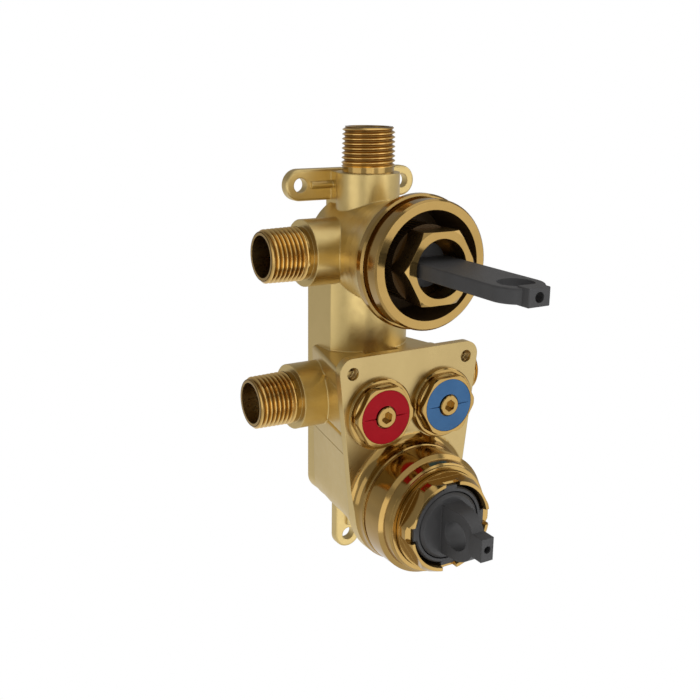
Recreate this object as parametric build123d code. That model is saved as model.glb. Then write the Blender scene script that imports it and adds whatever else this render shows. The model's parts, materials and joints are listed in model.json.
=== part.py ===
from build123d import *
import os

# Rough-in valve for a shower: temperature control below, outlet diverter above.
# X runs to the right seen from the front, Y runs back into the wall, Z runs up.
# The origin is on the wall plane, on the axis of the temperature control.

# Pipe ends: half inch taper pipe thread
PIPE_R = 10.67
PIPE_BORE_R = 8.2
THREAD_LEN = 15.3
NECK_R = 10.3
NECK_LEN = 2.3
BOSS_R = 13.2
END_CHAMFER = 0.9
PIPE_Y = -16.0

# Places of the main axes and pipe ends
DIVERTER_Z = 96.7
STOP_X = 14.7
STOP_Z = 38.7
OUTLET_X = 47.4
INLET_X = 52.8
TOP_Z = 144.6

# Cast column
COLUMN_HALF = 18.4
COLUMN_SIDE = 18.9
COLUMN_ARCH = 9.5

# Lugs that fix the casting to the wall
LUG_X = 24.0
LUG_Z = 121.4
FOOT_Z = -35.7
LUG_R = 6.3
LUG_T = 4.0
LUG_HOLE_R = 2.9
LUG_EDGE = 1.0
RIB_R = 1.4

# Front plate
PLATE_Y = -50.25
PLATE_T = 3.6
PLATE_R = 25.5
PLATE_CORNER_R = 5.6
PLATE_TOP_Z = 62.1
TRIM_X = 26.3
TRIM_Z = 56.0
TRIM_R = 2.5

# Lower spigot that takes the mixing cartridge
COLLAR_R = 24.7
BLEND_R = 28.75
SPIGOT_FACE_Y = -72.2
SPIGOT_BORE_R = 20.0
CARTRIDGE_BORE_R = 15.6
CARTRIDGE_SEAT_Y = -58.0
CHAMBER_BACK_Y = -12.0

# Upper spigot and diverter chamber
DRUM_R = 20.0
RING_FACE_Y = -61.5
RING_R = DRUM_R + 4.5
RING_BORE_R = DRUM_R + 0.6
FLANGE_R = DRUM_R + 5.7
RECESS_Y = -40.0
GLAND_POST_R = 15.0
GLAND_BORE_R = 12.8
GLAND_POST_Y = -57.6
DIVERTER_BACK_Y = -24.0

# Running and assembly clearances
RUN_GAP = 0.06
SLIDE_GAP = 0.08
THREAD_GAP = 0.15
LOOSE_GAP = 0.4


def rod_x(radius, start, end, y, z):
    """Cylinder along X."""
    blank = Cylinder(radius, end - start, align=(Align.CENTER, Align.CENTER, Align.MIN))
    return Pos(start, y, z) * Rot(0, 90, 0) * blank


def rod_y(radius, start, end, x=0.0, z=0.0):
    """Cylinder along Y."""
    blank = Cylinder(radius, end - start, align=(Align.CENTER, Align.CENTER, Align.MIN))
    return Pos(x, start, z) * Rot(-90, 0, 0) * blank


def rod_z(radius, start, end, x, y):
    """Cylinder along Z."""
    blank = Cylinder(radius, end - start, align=(Align.CENTER, Align.CENTER, Align.MIN))
    return Pos(x, y, start) * blank


def block(x_low, x_high, y_low, y_high, z_low, z_high):
    """Box between two corners."""
    size = (x_high - x_low, y_high - y_low, z_high - z_low)
    middle = ((x_low + x_high) / 2, (y_low + y_high) / 2, (z_low + z_high) / 2)
    return Pos(*middle) * Box(*size)


def turned(points, x=0.0, z=0.0):
    """Turned piece: (radius, y) points revolved about an axis along Y."""
    face = make_face(Polyline(*points, close=True))
    return Pos(x, 0, z) * revolve(face, Axis.Y)


def front_plane(y, x=0.0, z=0.0):
    """Sketch plane that faces the front: its own axes are X and Z."""
    return Plane(origin=(x, y, z), x_dir=(1, 0, 0), z_dir=(0, -1, 0))


def hexagon_y(across_flats, front, back, x=0.0, z=0.0, turn=0.0):
    """Hexagon bar along Y."""
    outline = RegularPolygon(across_flats / 2, 6, major_radius=False, rotation=turn)
    return extrude(front_plane(back, x, z) * outline, back - front)


def coil_y(radius, wire_r, front, back, turns, x=0.0, z=0.0):
    """Compression spring along Y."""
    path = Helix((back - front) / turns, back - front, radius)
    ring = Plane(origin=path @ 0, z_dir=path % 0) * RegularPolygon(wire_r, 6)
    return Pos(x, front, z) * Rot(-90, 0, 0) * sweep(ring, path, is_frenet=True)


def o_ring_y(radius, section_r, y, x=0.0, z=0.0):
    """Seal ring about an axis along Y."""
    return Pos(x, y, z) * Rot(-90, 0, 0) * Torus(radius, section_r)


def pipe_end(length):
    """Pipe end along +Z: threaded part with a chamfered tip, then a plain neck; its root is at zero."""
    neck = Cylinder(NECK_R, NECK_LEN, align=(Align.CENTER, Align.CENTER, Align.MIN))
    thread = Cylinder(PIPE_R, length - NECK_LEN, align=(Align.CENTER, Align.CENTER, Align.MIN))
    thread = chamfer(thread.edges().filter_by(GeomType.CIRCLE), END_CHAMFER)
    return neck + Pos(0, 0, NECK_LEN) * thread


# The cast body
PIPE_RUN = THREAD_LEN + NECK_LEN
OUTLET_FACE_X = OUTLET_X - PIPE_RUN
INLET_FACE_X = INLET_X - PIPE_RUN
TOP_FACE_Z = TOP_Z - PIPE_RUN
PLATE_BACK_Y = PLATE_Y + PLATE_T

column_side_y = -COLUMN_SIDE
column_front_y = -COLUMN_SIDE - COLUMN_ARCH
column_wall = Polyline(
    (-COLUMN_HALF, column_side_y),
    (-COLUMN_HALF, 0),
    (COLUMN_HALF, 0),
    (COLUMN_HALF, column_side_y),
)
column_arch = ThreePointArc((COLUMN_HALF, column_side_y), (0, column_front_y), (-COLUMN_HALF, column_side_y))
DRUM_LOW_R = 17.4
COLUMN_FOOT_Z = -12.1
COLUMN_FOOT_R = 7.8
column_run = DIVERTER_Z - COLUMN_FOOT_Z
column = Pos(0, 0, COLUMN_FOOT_Z) * extrude(make_face(column_wall + column_arch), column_run)
column = fillet(column.edges().filter_by(Axis.Y).sort_by(Axis.Z)[:2], COLUMN_FOOT_R)

drum_low = turned(
    [
        (0, 0),
        (DRUM_LOW_R - 0.5, 0),
        (DRUM_LOW_R, -0.5),
        (DRUM_LOW_R + 0.4, -10.0),
        (DRUM_LOW_R + 2.2, -19.0),
        (DRUM_LOW_R + 2.8, -31.0),
        (DRUM_LOW_R + 3.2, -37.0),
        (PLATE_R - 1.4, PLATE_BACK_Y + 2.0),
        (PLATE_R - 1.4, PLATE_BACK_Y),
        (0, PLATE_BACK_Y),
    ]
)

BLOCK_TOP_Z = PLATE_TOP_Z - 6.0
BLOCK_INSET = 2.4
BLOCK_BACK_Y = -27.0
PAD_HALF = COLUMN_HALF + 0.6
PAD_LOW_Z = STOP_Z - 20.9
PAD_CORNER_R = 3.0
PAD_BACK_Y = PIPE_Y + BOSS_R - 0.1
pad_outline = Polyline(
    (PAD_BACK_Y, PAD_LOW_Z),
    (BLOCK_BACK_Y, PAD_LOW_Z),
    (BLOCK_BACK_Y - 8.0, -6.2),
    (PLATE_BACK_Y, -6.2),
    (PLATE_BACK_Y, STOP_Z),
    (PAD_BACK_Y, STOP_Z),
    close=True,
)
side_plane = Plane(origin=(-PAD_HALF, 0, 0), x_dir=(0, 1, 0), z_dir=(1, 0, 0))
side_pad = extrude(side_plane * make_face(pad_outline), 2 * PAD_HALF)
pad_corner = side_pad.edges().filter_by(Axis.X).sort_by_distance((0, BLOCK_BACK_Y, PAD_LOW_Z))[:1]
side_pad = fillet(pad_corner, PAD_CORNER_R)
back_outline = Polyline(
    (-PAD_HALF, 0),
    (PAD_HALF, 0),
    (PAD_HALF, BLOCK_TOP_Z - 3),
    (-PAD_HALF, BLOCK_TOP_Z - 3),
    close=True,
)
top_half = TRIM_X + PLATE_CORNER_R - BLOCK_INSET
low_half = PLATE_R - 1.2
plate_outline = Polyline(
    (-low_half, 0),
    (low_half, 0),
    (top_half, BLOCK_TOP_Z),
    (-top_half, BLOCK_TOP_Z),
    close=True,
)
stop_block = loft(
    [
        front_plane(BLOCK_BACK_Y) * make_face(back_outline),
        front_plane(PLATE_BACK_Y) * make_face(plate_outline),
    ]
)

corner = Circle(PLATE_CORNER_R)
corner_z = PLATE_TOP_Z - PLATE_CORNER_R
plate_sketch = make_hull(
    (
        Circle(PLATE_R).edges()
        + (Pos(TRIM_X, corner_z) * corner).edges()
        + (Pos(-TRIM_X, corner_z) * corner).edges()
    )
)
plate = extrude(front_plane(PLATE_BACK_Y) * plate_sketch, PLATE_T)

# Collar that runs out of the plate in a wide blend, then the stepped spigot
blend = BLEND_R - COLLAR_R
blend_foot = PLATE_Y - blend
half_way = blend * 0.7071
blend_edge = ThreePointArc(
    (BLEND_R, PLATE_Y),
    (BLEND_R - half_way, blend_foot + half_way),
    (COLLAR_R, blend_foot),
)
blend_back = Polyline(
    (COLLAR_R, blend_foot),
    (COLLAR_R - 1, blend_foot),
    (COLLAR_R - 1, PLATE_Y + 1),
    (BLEND_R, PLATE_Y + 1),
    (BLEND_R, PLATE_Y),
)
collar_blend = revolve(make_face(blend_edge + blend_back), Axis.Y)
collar_blend &= extrude(front_plane(PLATE_Y + 2) * plate_sketch, blend + 4)

COLLAR_FRONT_Y = PLATE_Y - 5.8
spigot_low = turned(
    [
        (0, PLATE_BACK_Y),
        (COLLAR_R, PLATE_BACK_Y),
        (COLLAR_R, COLLAR_FRONT_Y + 0.4),
        (COLLAR_R - 0.4, COLLAR_FRONT_Y),
        (COLLAR_R - 1.0, COLLAR_FRONT_Y),
        (COLLAR_R - 1.0, COLLAR_FRONT_Y - 1.0),
        (COLLAR_R - 0.2, COLLAR_FRONT_Y - 1.6),
        (COLLAR_R - 0.3, COLLAR_FRONT_Y - 10.6),
        (COLLAR_R - 1.9, COLLAR_FRONT_Y - 11.6),
        (COLLAR_R - 2.1, COLLAR_FRONT_Y - 11.6),
        (COLLAR_R - 2.5, COLLAR_FRONT_Y - 14.8),
        (COLLAR_R - 3.2, COLLAR_FRONT_Y - 15.5),
        (COLLAR_R - 3.2, SPIGOT_FACE_Y),
        (0, SPIGOT_FACE_Y),
    ]
)

drum_high = turned(
    [
        (0, 0),
        (DRUM_R - 3, 0),
        (DRUM_R, -3),
        (DRUM_R, -27),
        (DRUM_R + 0.6, -33),
        (DRUM_R + 1.8, -38.5),
        (DRUM_R + 3.6, -43.5),
        (DRUM_R + 4.7, -47.5),
        (FLANGE_R - 0.7, -49.6),
        (FLANGE_R, -50.4),
        (FLANGE_R, -53.0),
        (FLANGE_R - 0.7, -53.8),
        (RING_R - 1.5, -53.8),
        (RING_R - 1.5, -56.0),
        (RING_R, -56.4),
        (RING_R, RING_FACE_Y + 0.7),
        (RING_R - 0.7, RING_FACE_Y),
        (0, RING_FACE_Y),
    ],
    z=DIVERTER_Z,
)

outlet_boss = rod_x(BOSS_R, -OUTLET_FACE_X, OUTLET_FACE_X, PIPE_Y, DIVERTER_Z)
inlet_boss = rod_x(BOSS_R, -INLET_FACE_X, INLET_FACE_X, PIPE_Y, STOP_Z)
top_boss = rod_z(BOSS_R - 0.5, DIVERTER_Z, TOP_FACE_Z, 0, PIPE_Y)

end = pipe_end(PIPE_RUN)
top_end = Pos(0, PIPE_Y, TOP_FACE_Z) * end
left_outlet = Pos(-OUTLET_FACE_X, PIPE_Y, DIVERTER_Z) * Rot(0, -90, 0) * end
right_outlet = Pos(OUTLET_FACE_X, PIPE_Y, DIVERTER_Z) * Rot(0, 90, 0) * end
left_inlet = Pos(-INLET_FACE_X, PIPE_Y, STOP_Z) * Rot(0, -90, 0) * end
right_inlet = Pos(INLET_FACE_X, PIPE_Y, STOP_Z) * Rot(0, 90, 0) * end

top_lug_sketch = front_plane(0) * Pos(0, LUG_Z) * SlotCenterToCenter(2 * LUG_X, 2 * LUG_R)
top_lugs = extrude(top_lug_sketch, LUG_T)
top_lugs = fillet(top_lugs.faces().sort_by(Axis.Y)[0].edges(), LUG_EDGE)
foot_sketch = front_plane(0) * Pos(0, FOOT_Z / 2) * SlotCenterToCenter(-FOOT_Z, 2 * LUG_R, rotation=90)
foot = extrude(foot_sketch, LUG_T)
foot = fillet(foot.faces().sort_by(Axis.Y)[0].edges(), LUG_EDGE)
ribs = rod_x(RIB_R, -LUG_X + 4.5, LUG_X - 4.5, -LUG_T - 0.4, LUG_Z)
foot_rib = rod_z(RIB_R, FOOT_Z + 5.0, 0, 0, -LUG_T - 0.4)
lug_post = block(-10, 10, -PIPE_R, 0, DIVERTER_Z, LUG_Z + LUG_R - 1.0)

body = column + drum_low + side_pad + stop_block + plate + collar_blend + spigot_low + drum_high
body = body + outlet_boss + inlet_boss + top_boss
body = body + top_lugs + foot + ribs + foot_rib + lug_post
body = body + top_end + left_outlet + right_outlet + left_inlet + right_inlet

# Holes in the lugs and the plate
for lug_x, lug_z in ((LUG_X, LUG_Z), (-LUG_X, LUG_Z), (0, FOOT_Z)):
    body -= rod_y(LUG_HOLE_R, -2 * LUG_T, 1, lug_x, lug_z)
for trim_x in (-TRIM_X, TRIM_X):
    body -= rod_y(TRIM_R, PLATE_Y - 1, PLATE_BACK_Y + 5, trim_x, TRIM_Z)

# Mixing chamber, open at the front
body -= rod_y(SPIGOT_BORE_R, SPIGOT_FACE_Y - 1, CARTRIDGE_SEAT_Y)
body -= rod_y(CARTRIDGE_BORE_R, CARTRIDGE_SEAT_Y - 1, CHAMBER_BACK_Y)

# Diverter chamber: a deep ring-shaped recess around a post that holds the gland nut
recess = rod_y(RING_BORE_R, RING_FACE_Y - 1, RECESS_Y, z=DIVERTER_Z)
recess -= rod_y(GLAND_POST_R, GLAND_POST_Y, RECESS_Y + 1, z=DIVERTER_Z)
body -= recess
body -= rod_y(GLAND_BORE_R, GLAND_POST_Y - 1, DIVERTER_BACK_Y, z=DIVERTER_Z)

# Outlet passages: a wide bore from each end, then a narrow way to its port
PORT_R = 3.2
PORT_RING_R = 7.0
WAY_R = 4.2
BORE_DEPTH_X = 22.0
for side in (-1, 1):
    bore_ends = sorted((side * (OUTLET_X + 1), side * BORE_DEPTH_X))
    body -= rod_x(PIPE_BORE_R, *bore_ends, PIPE_Y, DIVERTER_Z)
    way_ends = sorted((side * (BORE_DEPTH_X + 1), side * PORT_RING_R))
    body -= rod_x(WAY_R, *way_ends, PIPE_Y, DIVERTER_Z)
    body -= rod_y(PORT_R, DIVERTER_BACK_Y - 1, PIPE_Y, side * PORT_RING_R, DIVERTER_Z)
body -= rod_z(PIPE_BORE_R, DIVERTER_Z + BORE_DEPTH_X, TOP_Z + 1, 0, PIPE_Y)
body -= rod_z(WAY_R, DIVERTER_Z + PORT_RING_R, DIVERTER_Z + BORE_DEPTH_X + 1, 0, PIPE_Y)
body -= rod_y(PORT_R, DIVERTER_BACK_Y - 1, PIPE_Y, 0, DIVERTER_Z + PORT_RING_R)

# Riser that carries mixed water up to the diverter
RISER_R = 4.5
RISER_Y = DIVERTER_BACK_Y + 1.0
body -= rod_z(RISER_R, CARTRIDGE_BORE_R - 3, DIVERTER_Z - GLAND_BORE_R + 2.5, 0, RISER_Y)

# Inlet bores with a step for the check valve, and the stop bores
CHECK_BORE_X = 30.0
GALLERY_R = 6.0
STOP_THREAD_R = 9.2
STOP_BORE_R = 7.6
STOP_SEAT_R = 4.6
STOP_SEAT_Y = -26.0
STOP_STEP_Y = -41.0
HOT_WAY_Y = -37.4
COLD_WAY_Y = -29.2
SUPPLY_R = 2.6
BONNET_R = 14.2
SPOT_FACE_R = BONNET_R + LOOSE_GAP
for side in (-1, 1):
    bore_ends = sorted((side * (INLET_X + 1), side * CHECK_BORE_X))
    body -= rod_x(PIPE_BORE_R, *bore_ends, PIPE_Y, STOP_Z)
    gallery_ends = sorted((side * (CHECK_BORE_X + 1), side * (STOP_X - 1)))
    body -= rod_x(GALLERY_R, *gallery_ends, PIPE_Y, STOP_Z)
    body -= rod_y(SPOT_FACE_R, PLATE_Y - 2 * blend, PLATE_Y, side * STOP_X, STOP_Z)
    body -= rod_y(STOP_THREAD_R, PLATE_Y - 1, STOP_STEP_Y, side * STOP_X, STOP_Z)
    body -= rod_y(STOP_BORE_R, STOP_STEP_Y - 1, STOP_SEAT_Y, side * STOP_X, STOP_Z)
    body -= rod_y(STOP_SEAT_R, STOP_SEAT_Y - 1, PIPE_Y, side * STOP_X, STOP_Z)
    supply_y = HOT_WAY_Y if side < 0 else COLD_WAY_Y
    body -= rod_z(SUPPLY_R, CARTRIDGE_BORE_R - 11, STOP_Z, side * (STOP_X - 2), supply_y)

nodes = {"valve_body": body}

# Gland nut and diverter cartridge
GLAND_FRONT_Y = -67.7
GLAND_FLATS = 27.0
GLAND_HOLE_R = 11.0
GLAND_SHANK_Y = -47.0
hex_blank = hexagon_y(GLAND_FLATS, GLAND_FRONT_Y, GLAND_POST_Y, z=DIVERTER_Z)
GLAND_CORNER_R = GLAND_FLATS / 2 / 0.866
gland_cone = turned(
    [
        (0, GLAND_FRONT_Y),
        (GLAND_CORNER_R - 1.4, GLAND_FRONT_Y),
        (GLAND_CORNER_R + 0.4, GLAND_FRONT_Y + 1.3),
        (GLAND_CORNER_R + 0.4, GLAND_POST_Y),
        (0, GLAND_POST_Y),
    ],
    z=DIVERTER_Z,
)
gland_nut = hex_blank & gland_cone
gland_nut += rod_y(GLAND_BORE_R - THREAD_GAP, GLAND_POST_Y - 1, GLAND_SHANK_Y, z=DIVERTER_Z)
gland_nut -= rod_y(GLAND_HOLE_R, GLAND_FRONT_Y - 1, GLAND_SHANK_Y + 1, z=DIVERTER_Z)
nodes["gland_nut"] = gland_nut

SHELL_R = GLAND_BORE_R - THREAD_GAP
SHELL_NECK_R = GLAND_HOLE_R - LOOSE_GAP
SHELL_NECK_Y = -49.5
DISC_R = 9.6
DISC_T = 2.2
DISC_POCKET_R = DISC_R + SLIDE_GAP
BASE_SEAL_T = 1.0
FIXED_DISC_Y = DIVERTER_BACK_Y - BASE_SEAL_T
MOVING_DISC_Y = FIXED_DISC_Y - DISC_T
STEM_FOOT_Y = MOVING_DISC_Y - DISC_T
STEM_FOOT_T = 3.0
STEM_R = 4.5
STEM_HOLE_R = STEM_R + RUN_GAP
STEM_END_Y = -56.5
shell = turned(
    [
        (0, SHELL_NECK_Y),
        (SHELL_NECK_R, SHELL_NECK_Y),
        (SHELL_NECK_R, GLAND_SHANK_Y),
        (SHELL_R, GLAND_SHANK_Y),
        (SHELL_R, FIXED_DISC_Y),
        (0, FIXED_DISC_Y),
    ],
    z=DIVERTER_Z,
)
POCKET_Y = STEM_FOOT_Y - STEM_FOOT_T - LOOSE_GAP
SHELL_SEAL_Y = -40.0
SEAL_SECTION_R = 0.9
shell -= rod_y(STEM_HOLE_R, SHELL_NECK_Y - 1, FIXED_DISC_Y + 1, z=DIVERTER_Z)
shell -= rod_y(DISC_POCKET_R, POCKET_Y, FIXED_DISC_Y + 1, z=DIVERTER_Z)
SEAL_SPAN = 2 * SEAL_SECTION_R
shell -= rod_y(STEM_R + SEAL_SPAN, SHELL_SEAL_Y - SEAL_SPAN, SHELL_SEAL_Y + SEAL_SPAN, z=DIVERTER_Z)
for window in range(4):
    slot = block(-2.2, 2.2, STEM_FOOT_Y - 2.4, STEM_FOOT_Y + 1.0, 0, SHELL_R + 1)
    shell -= Pos(0, 0, DIVERTER_Z) * Rot(0, 45 + 90 * window, 0) * slot
nodes["diverter_cartridge_body"] = shell

seal_disc = rod_y(DISC_R, FIXED_DISC_Y, DIVERTER_BACK_Y, z=DIVERTER_Z)
fixed_disc = rod_y(DISC_R, MOVING_DISC_Y, FIXED_DISC_Y, z=DIVERTER_Z)
for port_x, port_z in ((-PORT_RING_R, 0), (PORT_RING_R, 0), (0, PORT_RING_R)):
    port = rod_y(PORT_R - LOOSE_GAP, MOVING_DISC_Y - 1, DIVERTER_BACK_Y + 1, port_x, DIVERTER_Z + port_z)
    seal_disc -= port
    fixed_disc -= port
nodes["diverter_base_seal"] = seal_disc
nodes["diverter_fixed_disc"] = fixed_disc

DRIVE_HALF = 2.0
moving_disc = rod_y(DISC_R - LOOSE_GAP, STEM_FOOT_Y, MOVING_DISC_Y, z=DIVERTER_Z)
moving_disc -= rod_y(PORT_R - LOOSE_GAP, STEM_FOOT_Y - 1, MOVING_DISC_Y + 1, 0, DIVERTER_Z + PORT_RING_R)
moving_disc -= Pos(0, 0, DIVERTER_Z) * block(-7, 7, STEM_FOOT_Y - 1, STEM_FOOT_Y + 1, -DRIVE_HALF, DRIVE_HALF)
nodes["diverter_moving_disc"] = moving_disc

stem = rod_y(STEM_R, STEM_END_Y, STEM_FOOT_Y, z=DIVERTER_Z)
stem += rod_y(DISC_R - 2.0, STEM_FOOT_Y - STEM_FOOT_T, STEM_FOOT_Y, z=DIVERTER_Z)
stem -= rod_y(PORT_R, STEM_FOOT_Y - STEM_FOOT_T - 1, STEM_FOOT_Y + 1, 0, DIVERTER_Z + PORT_RING_R)
stem += Pos(0, 0, DIVERTER_Z) * block(-6.9, 6.9, STEM_FOOT_Y - 1, STEM_FOOT_Y + 1, -DRIVE_HALF, DRIVE_HALF)
nodes["diverter_stem"] = stem
seal_ring = o_ring_y(STEM_R + SEAL_SECTION_R, SEAL_SECTION_R - RUN_GAP, SHELL_SEAL_Y, z=DIVERTER_Z)
nodes["diverter_stem_seal"] = seal_ring

# Black flat-bar adapter on the diverter stem
BAR_HALF_W = 9.8
BAR_HALF_T = 2.75
BAR_SOCKET_R = 8.6
BAR_BACK_Y = -52.0
BAR_SOCKET_LEN = 5.5
BAR_EDGE = 0.7
BAR_TIP_Y = -120.3
BAR_EYE_BACK = 11.9
BAR_EYE_Y = BAR_TIP_Y + BAR_EYE_BACK
BAR_EYE_R = 6.4
TIP_BLOCK = 6.0
TIP_HALF_W = 4.5
TIP_HALF_T = 3.2
TIP_HOLE_R = 1.8
TIP_EDGE = 0.4
bar_plane = Plane(origin=(0, 0, DIVERTER_Z - BAR_HALF_T), x_dir=(1, 0, 0), z_dir=(0, 0, 1))
bar_run = BAR_BACK_Y - BAR_SOCKET_LEN / 2 - BAR_EYE_Y
bar_outline = Rectangle(2 * BAR_HALF_W, bar_run, align=(Align.CENTER, Align.MIN))
bar_face = Pos(0, BAR_EYE_Y) * (bar_outline + Circle(BAR_HALF_W))
bar = extrude(bar_plane * bar_face, 2 * BAR_HALF_T)
bar_rims = bar.edges().group_by(Axis.Z)
bar = fillet(bar_rims[0] + bar_rims[-1], BAR_EDGE)
bar += rod_y(BAR_SOCKET_R, BAR_BACK_Y - BAR_SOCKET_LEN, BAR_BACK_Y, z=DIVERTER_Z)
tip = block(-TIP_HALF_W, TIP_HALF_W, BAR_TIP_Y, BAR_TIP_Y + TIP_BLOCK, -TIP_HALF_T, TIP_HALF_T)
bar += Pos(0, 0, DIVERTER_Z) * fillet(tip.edges(), TIP_EDGE)
bar -= rod_z(BAR_EYE_R, DIVERTER_Z - 10, DIVERTER_Z + 10, 0, BAR_EYE_Y)
bar -= rod_y(TIP_HOLE_R, BAR_TIP_Y - 1, BAR_EYE_Y, z=DIVERTER_Z)
bar -= rod_y(STEM_R + RUN_GAP, STEM_END_Y, BAR_BACK_Y + 1, z=DIVERTER_Z)
nodes["diverter_adapter"] = bar

# Castellated nut that holds the mixing cartridge
NUT_FRONT_Y = -80.0
NUT_SHOULDER_Y = -73.2
NUT_FLATS = 35.4
NUT_FACE_R = 19.5
NUT_HOLE_R = 15.6
NUT_SINK_R = 17.0
NUT_SHANK_Y = -59.4
SLOT_HALF = 3.2
SLOT_DEPTH = 3.4
NUT_CORNER_R = NUT_FLATS / 2 / 0.866
nut_blank = hexagon_y(NUT_FLATS, NUT_FRONT_Y, NUT_SHOULDER_Y, turn=10)
nut_cone = turned(
    [
        (0, NUT_FRONT_Y),
        (NUT_FACE_R, NUT_FRONT_Y),
        (NUT_CORNER_R + 0.2, NUT_FRONT_Y + 1.6),
        (NUT_CORNER_R + 0.2, NUT_SHOULDER_Y),
        (0, NUT_SHOULDER_Y),
    ]
)
retaining_nut = nut_blank & nut_cone
retaining_nut += rod_y(SPIGOT_BORE_R - THREAD_GAP, NUT_SHOULDER_Y - 0.6, NUT_SHANK_Y)
retaining_nut -= rod_y(NUT_HOLE_R, NUT_FRONT_Y - 1, NUT_SHANK_Y + 1)
sink = NUT_SINK_R - NUT_HOLE_R
retaining_nut -= turned(
    [
        (0, NUT_FRONT_Y),
        (NUT_SINK_R, NUT_FRONT_Y),
        (NUT_HOLE_R, NUT_FRONT_Y + sink),
        (0, NUT_FRONT_Y + sink),
    ]
)
for slot_turn in range(4):
    slot = block(-SLOT_HALF, SLOT_HALF, NUT_FRONT_Y - 1, NUT_FRONT_Y + SLOT_DEPTH, 0, NUT_CORNER_R + 1)
    retaining_nut -= Rot(0, 90 * slot_turn, 0) * slot
nodes["retaining_nut"] = retaining_nut

# Mixing cartridge
HOUSING_R = CARTRIDGE_BORE_R - THREAD_GAP
HOUSING_BORE_R = 12.4
HOUSING_FLANGE_R = SPIGOT_BORE_R - LOOSE_GAP
HOUSING_FRONT_Y = NUT_SHANK_Y
HOUSING_BACK_Y = CHAMBER_BACK_Y - 0.5
WINDOW_HALF = 2.6
OUT_WAY_Y = -20.0
housing = turned(
    [
        (HOUSING_BORE_R, HOUSING_FRONT_Y),
        (HOUSING_FLANGE_R, HOUSING_FRONT_Y),
        (HOUSING_FLANGE_R, CARTRIDGE_SEAT_Y),
        (HOUSING_R, CARTRIDGE_SEAT_Y),
        (HOUSING_R, HOUSING_BACK_Y),
        (0, HOUSING_BACK_Y),
        (0, HOUSING_BACK_Y - 2.0),
        (HOUSING_BORE_R, HOUSING_BACK_Y - 2.0),
    ]
)
HOUSING_SEALS_Y = (-48.5, -33.3, -24.2)
HOUSING_SEAL_R = 1.1
for way_y in (HOT_WAY_Y, COLD_WAY_Y, OUT_WAY_Y):
    for window in range(6):
        slot = block(-3.2, 3.2, way_y - WINDOW_HALF, way_y + WINDOW_HALF, 0, HOUSING_R + 1)
        housing -= Rot(0, 30 + 60 * window, 0) * slot
for seal_y in HOUSING_SEALS_Y:
    groove = rod_y(HOUSING_R + 1, seal_y - HOUSING_SEAL_R, seal_y + HOUSING_SEAL_R)
    groove -= rod_y(HOUSING_R - 2 * HOUSING_SEAL_R + 0.2, seal_y - 2, seal_y + 2)
    housing -= groove
nodes["mixing_housing"] = housing
seal_rings = []
for seal_y in HOUSING_SEALS_Y:
    seal_rings.append(o_ring_y(CARTRIDGE_BORE_R - HOUSING_SEAL_R, HOUSING_SEAL_R - RUN_GAP, seal_y).solid())
nodes["mixing_seals"] = Compound(seal_rings)
SCREEN_T = 0.25
screens = []
for way_y in (HOT_WAY_Y, COLD_WAY_Y):
    sleeve = rod_y(HOUSING_R + SCREEN_T / 2, way_y - WINDOW_HALF - 0.6, way_y + WINDOW_HALF + 0.6)
    screens.append((sleeve - rod_y(HOUSING_R, way_y - 9, way_y + 9)).solid())
nodes["filter_screens"] = Compound(screens)

HEAD_R = HOUSING_BORE_R - THREAD_GAP
HEAD_FRONT_Y = -66.0
HEAD_BACK_Y = -52.0
HEAD_NECK_R = 9.5
SPINDLE_R = 5.0
SPINDLE_SHOULDER_R = 7.6
SPINDLE_SEAL_Y = -62.5
head = turned(
    [
        (SPINDLE_R + RUN_GAP, HEAD_FRONT_Y),
        (HEAD_NECK_R, HEAD_FRONT_Y),
        (HEAD_NECK_R, HOUSING_FRONT_Y - 1.2),
        (NUT_HOLE_R - LOOSE_GAP, HOUSING_FRONT_Y - 1.2),
        (NUT_HOLE_R - LOOSE_GAP, HOUSING_FRONT_Y),
        (HEAD_R, HOUSING_FRONT_Y),
        (HEAD_R, HEAD_BACK_Y),
        (SPINDLE_SHOULDER_R + LOOSE_GAP, HEAD_BACK_Y),
        (SPINDLE_SHOULDER_R + LOOSE_GAP, HEAD_BACK_Y - 3.4),
        (SPINDLE_R + RUN_GAP, HEAD_BACK_Y - 3.4),
    ]
)
head -= rod_y(SPINDLE_R + SEAL_SPAN, SPINDLE_SEAL_Y - SEAL_SPAN, SPINDLE_SEAL_Y + SEAL_SPAN)
nodes["mixing_head"] = head
nodes["spindle_seal"] = o_ring_y(SPINDLE_R + SEAL_SECTION_R, SEAL_SECTION_R - RUN_GAP, SPINDLE_SEAL_Y)

SPINDLE_FRONT_Y = -77.5
SPINDLE_SPLINE_R = 4.2
LEAD_R = 3.2
SPINDLE_BACK_Y = -42.5
spindle = turned(
    [
        (0, SPINDLE_FRONT_Y),
        (SPINDLE_SPLINE_R - 0.5, SPINDLE_FRONT_Y),
        (SPINDLE_SPLINE_R, SPINDLE_FRONT_Y + 0.5),
        (SPINDLE_SPLINE_R, HEAD_FRONT_Y - 1.0),
        (SPINDLE_R, HEAD_FRONT_Y - 1.0),
        (SPINDLE_R, HEAD_BACK_Y - 3.0),
        (SPINDLE_SHOULDER_R, HEAD_BACK_Y - 3.0),
        (SPINDLE_SHOULDER_R, HEAD_BACK_Y - 1.0),
        (LEAD_R, HEAD_BACK_Y - 1.0),
        (LEAD_R, SPINDLE_BACK_Y),
        (0, SPINDLE_BACK_Y),
    ]
)
nodes["mixing_spindle"] = spindle

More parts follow.
